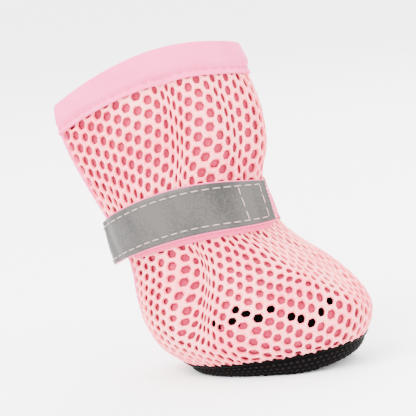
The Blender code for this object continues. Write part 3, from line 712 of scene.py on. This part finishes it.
# A tape folded over the edge. Its section is a closed loop in height and distance from the net:
# up the outer leg, which swells between the fold and the stitched groove, over the edge and down
# the plain inner leg.
def makeBinding():
    low = top - boot["bindingHeight"]
    clear, wall = binding["clear"], boot["wall"]
    far = clear + binding["thickness"]
    up = np.linspace(0.0, 1.0, 22)
    rise = up * (boot["bindingHeight"] - binding["thickness"])
    fromGroove = (rise - binding["hem"]) / (0.55 * mm)
    swell = smoothStep((rise - binding["hem"]) / (1.6 * mm)) * (1 - 0.35 * up)
    outerOut = far + binding["puff"] * swell - binding["groove"] * np.exp(-fromGroove ** 2)
    bend = np.linspace(0.0, math.pi, 11)[1:-1]
    halfSpan = (outerOut[-1] + wall + far) / 2
    bendOut = -halfSpan + outerOut[-1] + halfSpan * np.cos(bend)
    bendRise = rise[-1] + 1.15 * mm * np.sin(bend)
    innerRise = rise[::-1][::3]
    outs = np.concatenate([outerOut, bendOut, np.full(len(innerRise), -wall - far),
                           np.full(len(innerRise), -wall - clear), [clear, clear]])
    rises = np.concatenate([rise, bendRise, innerRise, innerRise[::-1], [rise[-1] - 0.6 * mm, 0.0]])
    heightAt = low + rises
    held = np.minimum(heightAt, top)
    turns = pleatedTurns(binding["around"], binding["heelAround"], held)
    onOuter = (np.arange(len(outs)) < len(rise))[:, None]
    nearStitches = np.exp(-((rises[:, None] - 1.2 * mm) / (1.4 * mm)) ** 2)
    above = smoothStep((rises - binding["hem"]) / (2.5 * mm))[:, None]
    pucker = onOuter * (binding["pucker"] * np.sin(np.radians(turns) * 46) * nearStitches
                        + binding["wave"] * np.sin(np.radians(turns) * 5 + 1.0) * above)
    heelEdge = np.abs(np.abs(turns % 360.0 - 180.0) - gussetHalfTurn(held)[:, None])
    flatter = 1 - binding["atHeelEdge"] * np.exp(-(heelEdge / 9.0) ** 2) * (outs > far)[:, None]
    grid = offsetPoint(turns, held[:, None], outs[:, None] * flatter + pucker)
    grid[..., 2] += np.maximum(heightAt - top, 0.0)[:, None]
    length = runLength(np.stack([outs, rises], -1))
    flat = (np.linspace(0.0, 0.14, turns.shape[1] + 1), np.append(length, length[-1] + mm))
    thing = gridObject("collarBinding", grid, True, True, flat)
    finishPiece(thing, [tapePink], "pink_tape", "collar_binding")


# Threads

# Many short stitches as one mesh. Each is a tube with six sides that dips into the cloth at both
# ends: its middle line runs between two points of a surface, and bulges from it as a half sine.
def stitchObject(name, starts, ends, lifts, radius, material, slot):
    rings, sides = 7, 6
    share = np.linspace(0.0, 1.0, rings)
    line = starts[:, None] * (1 - share[None, :, None]) + ends[:, None] * share[None, :, None]
    line = line + lifts[:, None] * (np.sin(share * math.pi) ** 0.6)[None, :, None]
    upward = unit(lifts)
    sideways = np.cross(unit(ends - starts), upward)
    angle = (np.arange(sides) * 2 * math.pi / sides)[None, None, :, None]
    ring = np.cos(angle) * sideways[:, None, None] + 0.8 * np.sin(angle) * upward[:, None, None]
    girth = radius * np.array([0.55, 0.9, 1.0, 1.0, 1.0, 0.9, 0.55])
    tube = line[:, :, None] + ring * girth[None, :, None, None]
    count = len(starts)
    points = np.concatenate([tube.reshape(count, -1, 3), np.stack([line[:, 0], line[:, -1]], 1)], 1)
    a = np.arange(rings - 1)[:, None] * sides + np.arange(sides)[None]
    b = np.arange(rings - 1)[:, None] * sides + (np.arange(sides)[None] + 1) % sides
    quads = np.stack([a, b, b + sides, a + sides], -1).reshape(-1, 4)
    last, pole = (rings - 1) * sides, rings * sides
    startCap = [(k, (k + 5) % 6, pole, (k + 1) % 6) for k in (0, 2, 4)]
    endCap = [(last + k, last + (k + 1) % 6, pole + 1, last + (k + 5) % 6) for k in (0, 2, 4)]
    quads = np.concatenate([quads, startCap, endCap])
    faces = (quads[None] + (np.arange(count) * points.shape[1])[:, None, None]).reshape(-1, 4)
    thing = meshObject(name, points.reshape(-1, 3), faces, np.zeros((len(faces), 4, 2)))
    finishPiece(thing, [material], slot)


# Stitches in the binding's groove, outside the boot.
def makeCollarStitches():
    rise = top - boot["bindingHeight"] + binding["hem"]
    fine = np.linspace(-1.0, 1.0, 2000) * (180.0 - gussetHalfTurn(rise) + 1.0)
    out = binding["clear"] + binding["thickness"] - binding["groove"] + 0.02 * mm
    length = runLength(offsetPoint(fine, rise, out))
    begin = np.arange(0.0, length[-1] - binding["stitch"], binding["stitch"])
    s0 = np.interp(begin, length, fine)
    s1 = np.interp(begin + binding["stitch"] * binding["stitchShare"], length, fine)
    a, b = offsetPoint(s0, rise, out), offsetPoint(s1, rise, out)
    up = offsetPoint((s0 + s1) / 2, rise, out + 0.2 * mm) - (a + b) / 2
    stitchObject("collarStitches", a, b, up, binding["thread"], threadPink, "pink_tape")


# The strap and its tapes

strap = {
    "start": 52.0, "tapeStart": 56.0, "end": 342.0, "thickness": 0.9 * mm, "tapeThickness": 0.4 * mm,
    "loopThickness": 0.8 * mm, "edgeRound": 0.12 * mm, "tapeWave": 0.12 * mm,
    "inset": 1.45 * mm,         # of the stitches from the tape's edge
    "stitch": 2.2 * mm, "stitchGap": 0.9 * mm, "stitchLift": 0.22 * mm, "thread": 0.18 * mm,
    "lag": 0.8 * mm,            # how far the upper row of stitches starts after the lower one
    "boxLength": 7.0 * mm, "boxFromEnd": 2.2 * mm,   # of the stitched box at the free end
    "loopTrim": 2.2 * mm,       # how much the loop tape is cut away under the strap at the front
    "frays": 44, "frayLength": 0.9 * mm, "frayThread": 0.13 * mm,
}
tapeLow = strap["thickness"] + boot["gap"] * 0.5
tapeHigh = strap["thickness"] + boot["gap"] + strap["tapeThickness"]


# A point on the strap's path: s runs round the boot in degrees, w across the strap in metres, and
# out is the distance from its underside. It is the unpleated surface, standing off at the heel
# below and near the front above.
def strapPoint(s, w, out):
    s, w, out = np.broadcast_arrays(np.asarray(s, float), np.asarray(w, float), np.asarray(out, float))
    heel = np.clip(-np.cos(np.radians(s)), 0.0, 1.0) ** 4
    front = np.clip(np.cos(np.radians(s)), 0.0, 1.0) ** 2
    lower = 0.5 - w / boot["strapWidth"]
    stand = boot["strapStandOff"] * heel * lower + boot["strapEndLift"] * front * (1 - lower)
    offHeel = np.abs(s % 360.0 - 180.0) - gussetHalfTurn(strapMiddle)
    past = smoothStep(1.2 - offHeel / boot["loopHeelGap"])
    under = (2 * boot["gap"] + strap["loopThickness"]) - (boot["gap"] + strap["loopThickness"]) * past
    return offsetPoint(s, strapMiddle + w, under + stand + out, pleated=False)


# A flat band with rounded edges round the strap's path: its section is a thin closed loop across
# the width, and its outside has shallow waves.
def makeBand(name, start, width, inner, outer, wave, material, slot, node):
    s = np.linspace(start, strap["end"], 220)[None, :]
    across = np.linspace(-0.5, 0.5, 15)
    side = width / 2
    edge = side - strap["edgeRound"]
    middle = across[1:-1] * width
    w = np.concatenate([[-edge], middle, [edge, side, edge], middle[::-1], [-edge, -side]])
    count = len(across)
    half = [(inner + outer) / 2]
    out = np.concatenate([np.full(count, outer), half, np.full(count, inner), half])
    outside = (np.arange(len(out)) < count)[:, None]
    ripple = outside * wave * (np.sin(np.radians(s) * 9.0 + 0.6) * 0.5 + np.sin(np.radians(s) * 23.0) * 0.3)
    grid = strapPoint(s, w[:, None], out[:, None] + ripple)
    flat = (np.radians(s[0] - start) * 22 * mm, np.append(w, w[0]))
    thing = gridObject(name, grid, closedAcross=True, flat=flat)
    closeEnds(thing, grid)
    finishPiece(thing, [material], slot, node)


# The loop tape sewn round the ankle: the boot's surface moved outwards, with small loops as a
# product of sines. Its lower edge rises as a bell at the front.
def makeLoopTape():
    s = np.linspace(-1.0, 1.0, 200)[None, :]
    up = np.linspace(0.0, 1.0, 16)[:, None]
    trim = strap["loopTrim"] * np.exp(-(s * 180.0 / 24.0) ** 2)
    rise = loopLow + trim + (loopHigh - loopLow - 1.6 * trim) * up
    turn = s * (180.0 - gussetHalfTurn(rise) - boot["loopHeelGap"])
    loops = 0.05 * mm * np.sin(turn * 3.1) * np.sin(rise / mm * 2.3)
    grid = offsetPoint(turn, rise, boot["gap"] + strap["loopThickness"] + loops)
    flat = (np.linspace(0.0, 0.1, 200), up[:, 0] * boot["loopWidth"])
    thing = gridObject("ankleLoopTape", grid, flat=flat, inside=np.array([-14 * mm, 0.0, 42 * mm]))
    addSolidify(thing, strap["loopThickness"])
    finishPiece(thing, [loopPink], "pink_tape", "ankle_loop_tape")


# Stitches along both long edges of the tape and in a box near its free end.
def makeStrapStitches():
    fine = np.linspace(strap["tapeStart"] + 1, strap["end"] - 1.5, 2000)
    length = runLength(strapPoint(fine, 0.0, tapeHigh))
    begin = np.arange(0.0, length[-1] - strap["stitch"], strap["stitch"] + strap["stitchGap"])
    offset = boot["tapeWidth"] / 2 - strap["inset"]
    spans = []
    for w, later in ((-offset, 0.0), (offset, strap["lag"])):
        s0, s1 = (np.interp(begin + later + more, length, fine) for more in (0.0, strap["stitch"]))
        spans.append((s0, w, s1, w))
    for fromEnd in (strap["boxFromEnd"], strap["boxFromEnd"] + strap["boxLength"]):
        s0 = np.interp(length[-1] - fromEnd, length, fine)
        w0 = np.array([-offset, -offset + 2 * offset * 0.36, -offset + 2 * offset * 0.70])
        spans.append((s0, w0, s0, w0 + 2 * offset * 0.27))
    starts = [strapPoint(s0, w0, tapeHigh) for s0, w0, s1, w1 in spans]
    ends = [strapPoint(s1, w1, tapeHigh) for s0, w0, s1, w1 in spans]
    crests = [strapPoint((s0 + s1) / 2, (w0 + w1) / 2, tapeHigh + strap["stitchLift"])
              for s0, w0, s1, w1 in spans]
    starts, ends, crests = (np.concatenate(points) for points in (starts, ends, crests))
    stitchObject("strapStitches", starts, ends, crests - (starts + ends) / 2, strap["thread"],
                 threadPale, "pink_tape")


# Loose thread ends along the cut end of the strap and tape.
def makeFrays():
    rng = np.random.default_rng(7)
    end, count = strap["end"], strap["frays"]
    w = np.linspace(-0.49, 0.49, count) * boot["strapWidth"] + 0.08 * mm * rng.standard_normal(count)
    out = rng.uniform(0.2, 1.0, count) * tapeHigh
    starts = strapPoint(end - 0.6, w, out)
    ahead = unit(strapPoint(end + 1.0, w, out) - strapPoint(end, w, out))
    upward = unit(strapPoint(end, w, out + mm) - strapPoint(end, w, out))
    length = strap["frayLength"] * rng.uniform(0.5, 1.3, count)[:, None]
    ends = starts + ahead * length
    ends[:, 2] += 0.25 * mm * rng.standard_normal(count)
    stitchObject("strapFrays", starts, ends, upward * 0.12 * mm, strap["frayThread"], threadFray, "pink_tape")


# The sole and what lies in it

sole = {
    "floatLength": 2.2 * mm, "floatWidth": 1.9 * mm, "relief": 0.32 * mm,   # of the weave underneath
    "edgeFloatLength": 1.7 * mm, "edgeFloatWidth": 1.25 * mm, "edgeRelief": 0.5 * mm,
    "lap": 0.75 * mm,           # how far the cut edge laps over the net
    "ragged": 0.2 * mm,
    "around": 560, "flatRings": 62, "edgeRings": 24,
}
soleCentre = np.array([(boot["soleLength"] - 2 * boot["soleBack"]) / 2, 0.0])


# The underside's height: flat in the middle, and rising as a power of the way to toe and heel.
def groundHeight(x):
    toeEnd = boot["soleLength"] - boot["soleBack"]
    toe = np.clip((x - boot["treadFront"]) / (toeEnd - boot["treadFront"]), 0.0, 1.0)
    heel = np.clip((-x - boot["treadBack"]) / (boot["soleBack"] - boot["treadBack"]), 0.0, 1.0)
    return boot["toeSpring"] * toe ** 1.5 + boot["heelSpring"] * heel ** 1.5


# Rings of the sole: the seam's outline drawn in by inset, shrunk to the share that is kept, and
# brought down to the ground as the edge share falls from one to nothing. Turn and ring number are
# the two parameters.
def dishGrid(turns, inset, raiseBy, edgeShare, kept=1.0):
    seam = bodyPoint(turns, bottom)
    flat = seam[..., :2] - soleCentre
    size = np.linalg.norm(flat, axis=-1, keepdims=True)
    kept = np.broadcast_to(kept, inset.shape)[:, None, None]
    flat = soleCentre + flat * (1 - inset[:, None, None] / size) * kept
    under = groundHeight(flat[..., 0]) + raiseBy
    z = under + (seam[..., 2] - under) * edgeShare[:, None]
    return np.concatenate([flat, z[..., None]], axis=-1)


# The cloth's floats: rows of short ribs, each row half a rib on from the last. The height is a
# product of sines of the place in the unrolled cloth, flattened by a power.
def floatHeight(x, y, length, width):
    along = x / length + 0.5 * (np.floor(y / width) % 2)
    return np.abs(np.sin(math.pi * along)) ** 0.6 * np.abs(np.sin(math.pi * y / width)) ** 0.7


# The sole is one stack of closed rings: out from the middle of the underside, up the round edge as
# a quarter circle, over the lap on the net, and back in along the inside. The floats sink the
# cloth between them. Flat underneath they lie square to the boot, and on the edge along it.
def makeOutsole():
    turns = (np.arange(sole["around"]) * 360.0 / sole["around"])[None, :]
    kept = np.linspace(0.03, 1.0, sole["flatRings"])
    bends = np.radians(np.linspace(0.0, 90.0, sole["edgeRings"]))[1:]
    roundOff = boot["edgeRound"]
    inset = roundOff * np.concatenate([np.ones(len(kept)), 1 - np.sin(bends)])
    edge = np.concatenate([np.zeros(len(kept)), 1 - np.cos(bends)])
    outer = dishGrid(turns, inset, 0.0, edge, np.append(kept, np.ones(len(bends))))
    direction = unit(outer[..., :2] - soleCentre)
    under = floatHeight(outer[..., 0], outer[..., 1], sole["floatLength"], sole["floatWidth"])
    rim = outer[-1, :, :2]
    along = np.cumsum(np.linalg.norm(rim - np.roll(rim, 1, 0), axis=1))
    along *= round(along[-1] / sole["edgeFloatLength"]) * sole["edgeFloatLength"] / along[-1]
    across = np.concatenate([np.zeros(len(kept)), 1.35 * roundOff * bends])[:, None]
    side = floatHeight(along[None, :], across, sole["edgeFloatLength"], sole["edgeFloatWidth"])
    onSide = smoothStep(edge / 0.06)[:, None]
    sunk = sole["relief"] * (1 - under) * (1 - onSide) + sole["edgeRelief"] * (1 - side) * onSide
    outer[..., 2] += sunk * (1 - edge)[:, None]
    outer[..., :2] -= direction * (sunk * edge[:, None])[..., None]
    wave = np.sin(along / mm * 2.1) + 0.8 * np.sin(along / mm * 3.7 + 1.0) + 0.5 * np.sin(along / mm * 0.9)
    lap = bottom + sole["lap"] + sole["ragged"] * wave
    lapRings = [offsetPoint(turns[0], height, out) for height, out in (
        (bottom, 0.5 * mm), (lap, 0.5 * mm), (lap, 0.27 * mm), (bottom + 0.1 * mm, 0.1 * mm))]
    thick = boot["soleThickness"]
    innerBends = np.radians(np.linspace(90.0, 0.0, 6))
    innerFlat = np.linspace(1.0, 0.03, 8)[1:]
    innerRound = roundOff - 0.4 * thick
    halfWidth = boot["soleWidth"] / 2
    innerInset = np.concatenate([thick + innerRound * (1 - np.sin(innerBends)),
                                 thick + innerRound + (halfWidth - thick - innerRound) * (1 - innerFlat)])
    innerEdge = np.concatenate([1 - np.cos(innerBends), np.zeros(len(innerFlat))])
    grid = np.concatenate([outer, lapRings, dishGrid(turns, innerInset, thick, innerEdge)])
    # the floats' heights, which the sole's material turns into a painted highlight
    raised = np.zeros(grid.shape[:2])
    raised[:len(edge)] = under * (1 - onSide) + side * onSide
    flat = (np.linspace(0.0, 0.15, sole["around"] + 1), np.linspace(0.0, 0.06, len(grid)))
    thing = gridObject("outsole", grid, closedAlong=True, flat=flat, marks={"raised": raised})
    closeEnds(thing, grid, byRow=True)
    finishPiece(thing, [soleBlack], "sole_cloth", "outsole")


liner = {
    "thickness": 1.2 * mm, "edgeHeight": 13.5 * mm, "edgeRound": 2.4 * mm,
    "sideRise": 4.0 * mm, "sideTurn": 84.0, "sideWidth": 26.0,   # its edge rises at both sides
    "tape": 0.8 * mm, "tapeHeight": 6.5 * mm, "around": 180, "tapeAround": 240,
}


# The insole: rings of the sole's dish, then of the boot's inside, up to its turned-up edge, which
# rises as a bell at both sides, and back down its inner face to the middle.
def makeInsole():
    turns = (np.arange(liner["around"]) * 360.0 / liner["around"])[None, :]
    clear = boot["soleThickness"] + boot["gap"]
    inTape = boot["wall"] + liner["tape"] + 2 * boot["gap"]
    thick = liner["thickness"]
    foot = inTape + liner["edgeRound"]
    sides = sum(np.exp(-((turns - turn) / liner["sideWidth"]) ** 2)
                for turn in (liner["sideTurn"], 360.0 - liner["sideTurn"]))
    edgeTop = bottom + liner["edgeHeight"] + liner["sideRise"] * sides
    rise = bottom + 0.3 * mm + (edgeTop - bottom - 0.3 * mm) * np.linspace(0.0, 1.0, 8)[:, None]
    middle = boot["soleWidth"] * 0.47
    inset = np.append(np.linspace(middle, foot, 8), inTape + 0.3 * liner["edgeRound"])
    lower = dishGrid(turns, inset, clear, np.append(np.zeros(8), 0.3))
    wallOut = offsetPoint(turns, rise, -inTape)
    wallIn = offsetPoint(turns, rise[::-1], -inTape - thick)
    upper = dishGrid(turns, np.linspace(foot + thick, middle, 8), clear + thick,
                     np.append(0.05, np.zeros(7)))
    grid = np.concatenate([lower, wallOut, wallIn, upper])
    flat = (np.linspace(0.0, 0.15, liner["around"] + 1), np.linspace(0.0, 0.08, len(grid)))
    thing = gridObject("insole", grid, closedAlong=True, flat=flat)
    closeEnds(thing, grid, byRow=True)
    finishPiece(thing, [foamBlack], "insole_foam", "insole")


# The tape over the seam inside: the boot's surface moved inwards, with a slight pucker.
def makeSeamTape():
    around = liner["tapeAround"]
    turns = (np.arange(around) * 360.0 / around)[None, :]
    rise = np.linspace(bottom + 0.3 * mm, bottom + liner["tapeHeight"], 8)[:, None]
    pucker = 0.08 * mm * np.sin(np.radians(turns) * 40) * np.linspace(0.0, 1.0, 8)[:, None]
    grid = offsetPoint(turns, rise, -boot["wall"] - boot["gap"] + pucker)
    thing = gridObject("seamBinding", grid, closedAlong=True, inside=np.array([0.0, 0.0, 8 * mm]),
                       flat=(np.linspace(0.0, 0.15, around + 1), rise[:, 0]))
    addSolidify(thing, liner["tape"])
    finishPiece(thing, [tapePink], "pink_tape", "seam_binding")


# All pieces, from the net to what lies in the sole

netObject("shaftNet", shaftNet)
makeNetBack(netObject("footNet", footNet))
makeGusset()
makeBinding()
makeHeelCords()
makeLoopTape()
makeBand("strap", strap["start"], boot["strapWidth"], 0.0, strap["thickness"], 0.0,
         tapePink, "pink_tape", "strap")
makeBand("reflectiveTape", strap["tapeStart"], boot["tapeWidth"], tapeLow, tapeHigh,
         strap["tapeWave"], reflective, "reflective_tape", "reflective_tape")
makeStrapStitches()
makeFrays()
makeCollarStitches()
makeOutsole()
makeInsole()
makeSeamTape()


# Floor, light and camera

# Angles in degrees, the sensor in mm, the rest in metres but the world's strength.
view = {"azimuth": 15.0, "elevation": 8.0, "roll": 6.0, "distance": 0.62, "width": 0.12,
        "aim": (-11.5 * mm, 0.0, 46.5 * mm), "sensor": 36.0, "floor": 3.0, "world": 5.0}

# Soft studio lamps: name, place and side in metres, power in watts.
lamps = [("keyLight", (-0.35, -0.55, 0.75), 0.5, 24.0),
         ("fillLight", (0.7, -0.4, 0.45), 0.7, 5.0),
         ("rimLight", (0.1, 0.7, 0.7), 0.6, 11.0)]


# A pale floor in even white light.
def makeStage():
    mesh = bpy.data.meshes.new("floor")
    size = view["floor"]
    corners = [(-size, -size, 0), (size, -size, 0), (size, size, 0), (-size, size, 0)]
    mesh.from_pydata(corners, [], [(0, 1, 2, 3)])
    floor = bpy.data.objects.new("floor", mesh)
    bpy.context.scene.collection.objects.link(floor)
    mesh.materials.append(newMaterial("pale studio floor", {
        "Base Color": (0.94, 0.94, 0.94, 1.0), "Roughness": 0.6})[0])
    world = bpy.data.worlds.new("studio")
    bpy.context.scene.world = world
    world.use_nodes = True
    sky = world.node_tree.nodes["Background"]
    sky.inputs["Color"].default_value = (1.0, 1.0, 1.0, 1.0)
    sky.inputs["Strength"].default_value = view["world"]
    print("made the floor")


# Square lamps that look at the boot.
def makeLights():
    for name, place, size, power in lamps:
        light = bpy.data.lights.new(name, "AREA")
        light.size = size
        light.energy = power
        lamp = bpy.data.objects.new(name, light)
        lamp.location = place
        lamp.rotation_euler = (Vector(view["aim"]) - Vector(place)).to_track_quat("-Z", "Y").to_euler()
        bpy.context.scene.collection.objects.link(lamp)
    print("made the lights")


# The camera stands back from its aim by azimuth and elevation, rolled about its own axis.
def makeCamera():
    azimuth, elevation, roll = (math.radians(view[k]) for k in ("azimuth", "elevation", "roll"))
    back = Vector((math.sin(azimuth) * math.cos(elevation), -math.cos(azimuth) * math.cos(elevation),
                   math.sin(elevation)))
    right = Vector((math.cos(azimuth), math.sin(azimuth), 0.0))
    upward = back.cross(right)
    right, upward = (right * math.cos(roll) - upward * math.sin(roll),
                     right * math.sin(roll) + upward * math.cos(roll))
    camera = bpy.data.cameras.new("camera")
    camera.sensor_width = view["sensor"]
    camera.lens = view["sensor"] * view["distance"] / view["width"]
    camera.clip_start = 0.01
    thing = bpy.data.objects.new("camera", camera)
    turned = Matrix((right, upward, back)).transposed().to_4x4()
    thing.matrix_world = Matrix.Translation(Vector(view["aim"]) + back * view["distance"]) @ turned
    bpy.context.scene.collection.objects.link(thing)
    bpy.context.scene.camera = thing
    print("made the camera")


makeStage()
makeLights()
makeCamera()
